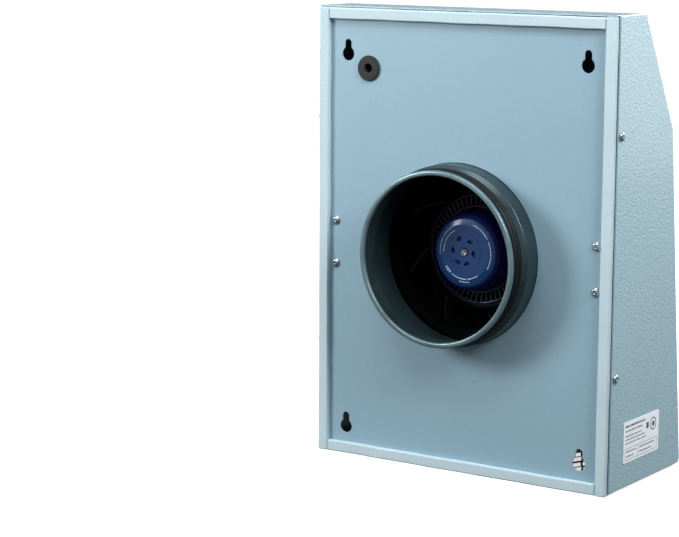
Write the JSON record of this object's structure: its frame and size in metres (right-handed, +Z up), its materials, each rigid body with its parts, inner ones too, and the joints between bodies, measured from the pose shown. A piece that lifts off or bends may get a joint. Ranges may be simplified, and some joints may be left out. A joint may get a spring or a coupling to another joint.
{
  "type": "wall exhaust blower",
  "caption": "Wall-mounted centrifugal exhaust blower: sheet-metal hood over a keyhole-hung rear tray, round duct spigot, external-rotor motor and impeller inside.",
  "frame": {"origin": "middle of the lower foam gasket strip on the rear tray, on the wall plane that all four strips touch", "axes": "+Z up the wall, +Y out of the back into the wall and along the duct, -Y out of the hood's front"},
  "size_m": [0.2978, 0.1703, 0.396],
  "materials": {
    "hammertone_paint": "hammertone, satin",
    "tray_paint": "smooth satin",
    "spigot_grey": "satin",
    "seal_rubber": "matte",
    "gasket_foam": "closed-cell foam",
    "black_rubber": "matte",
    "black_plastic": "matte",
    "impeller_plastic": "matte",
    "galvanised_sheet": "spangled zinc",
    "zinc_fastener": "bright zinc",
    "cast_aluminium": "cast",
    "core_steel": "laminated",
    "winding_copper": "enamelled wire",
    "bright_steel": "ground",
    "rotor_blue": "satin",
    "vane_blue": "satin",
    "terminal_plastic": "matte",
    "capacitor_plastic": "matte",
    "lead_sheath": "matte",
    "label_film": "satin"
  },
  "bodies": {
    "casing": {"rear_tray": "tray_paint", "duct_spigot": "spigot_grey", "duct_seal": "seal_rubber", "inlet_nozzle": "black_plastic", "motor_bracket": "galvanised_sheet", "bracket_rivet_1": "zinc_fastener", "bracket_rivet_2": "zinc_fastener", "bracket_rivet_3": "zinc_fastener", "bracket_rivet_4": "zinc_fastener", "stator_flange": "cast_aluminium", "stator_core": "core_steel", "winding_head_rear": "winding_copper", "winding_head_front": "winding_copper", "bearing_rear": "bright_steel", "bearing_front": "bright_steel", "motor_screw_1": "zinc_fastener", "motor_screw_2": "zinc_fastener", "motor_screw_3": "zinc_fastener", "motor_screw_4": "zinc_fastener", "terminal_box": "galvanised_sheet", "terminal_box_lid": "galvanised_sheet", "lid_screw_1": "zinc_fastener", "lid_screw_2": "zinc_fastener", "terminal_block": "terminal_plastic", "capacitor": "capacitor_plastic", "capacitor_clip": "galvanised_sheet", "motor_lead": "lead_sheath", "lead_bush": "black_rubber", "cable_grommet": "black_rubber", "gasket_left": "gasket_foam", "gasket_right": "gasket_foam", "gasket_bottom": "gasket_foam", "gasket_top": "gasket_foam"},
    "rotor": {"rotor_can": "rotor_blue", "rotor_cage": "core_steel", "motor_shaft": "bright_steel", "shaft_circlip": "bright_steel", "cooling_vane_ring": "vane_blue", "impeller": "impeller_plastic"},
    "hood": {"hood_front": "hammertone_paint", "hood_side_left": "hammertone_paint", "hood_side_right": "hammertone_paint", "hood_screw_1": "zinc_fastener", "hood_screw_2": "zinc_fastener", "hood_screw_3": "zinc_fastener", "hood_screw_4": "zinc_fastener", "hood_nut_1": "zinc_fastener", "hood_nut_2": "zinc_fastener", "hood_nut_3": "zinc_fastener", "hood_nut_4": "zinc_fastener", "outlet_guard": "galvanised_sheet", "guard_screw_1": "zinc_fastener", "guard_screw_2": "zinc_fastener", "guard_screw_3": "zinc_fastener", "guard_screw_4": "zinc_fastener", "label_airflow": "label_film", "label_notice_upper": "label_film", "label_notice_lower": "label_film", "rating_label": "label_film"}
  },
  "joints": [
    {"name": "rotor_spin", "type": "hinge", "parent": "casing", "child": "rotor", "pos_m": [0.004, -0.05, 0.184], "axis": [0, -1, 0], "continuous": true},
    {"name": "hood_slide", "type": "slide", "parent": "casing", "child": "hood", "axis": [0, -1, 0], "range_m": [0, 0.2]}
  ]
}
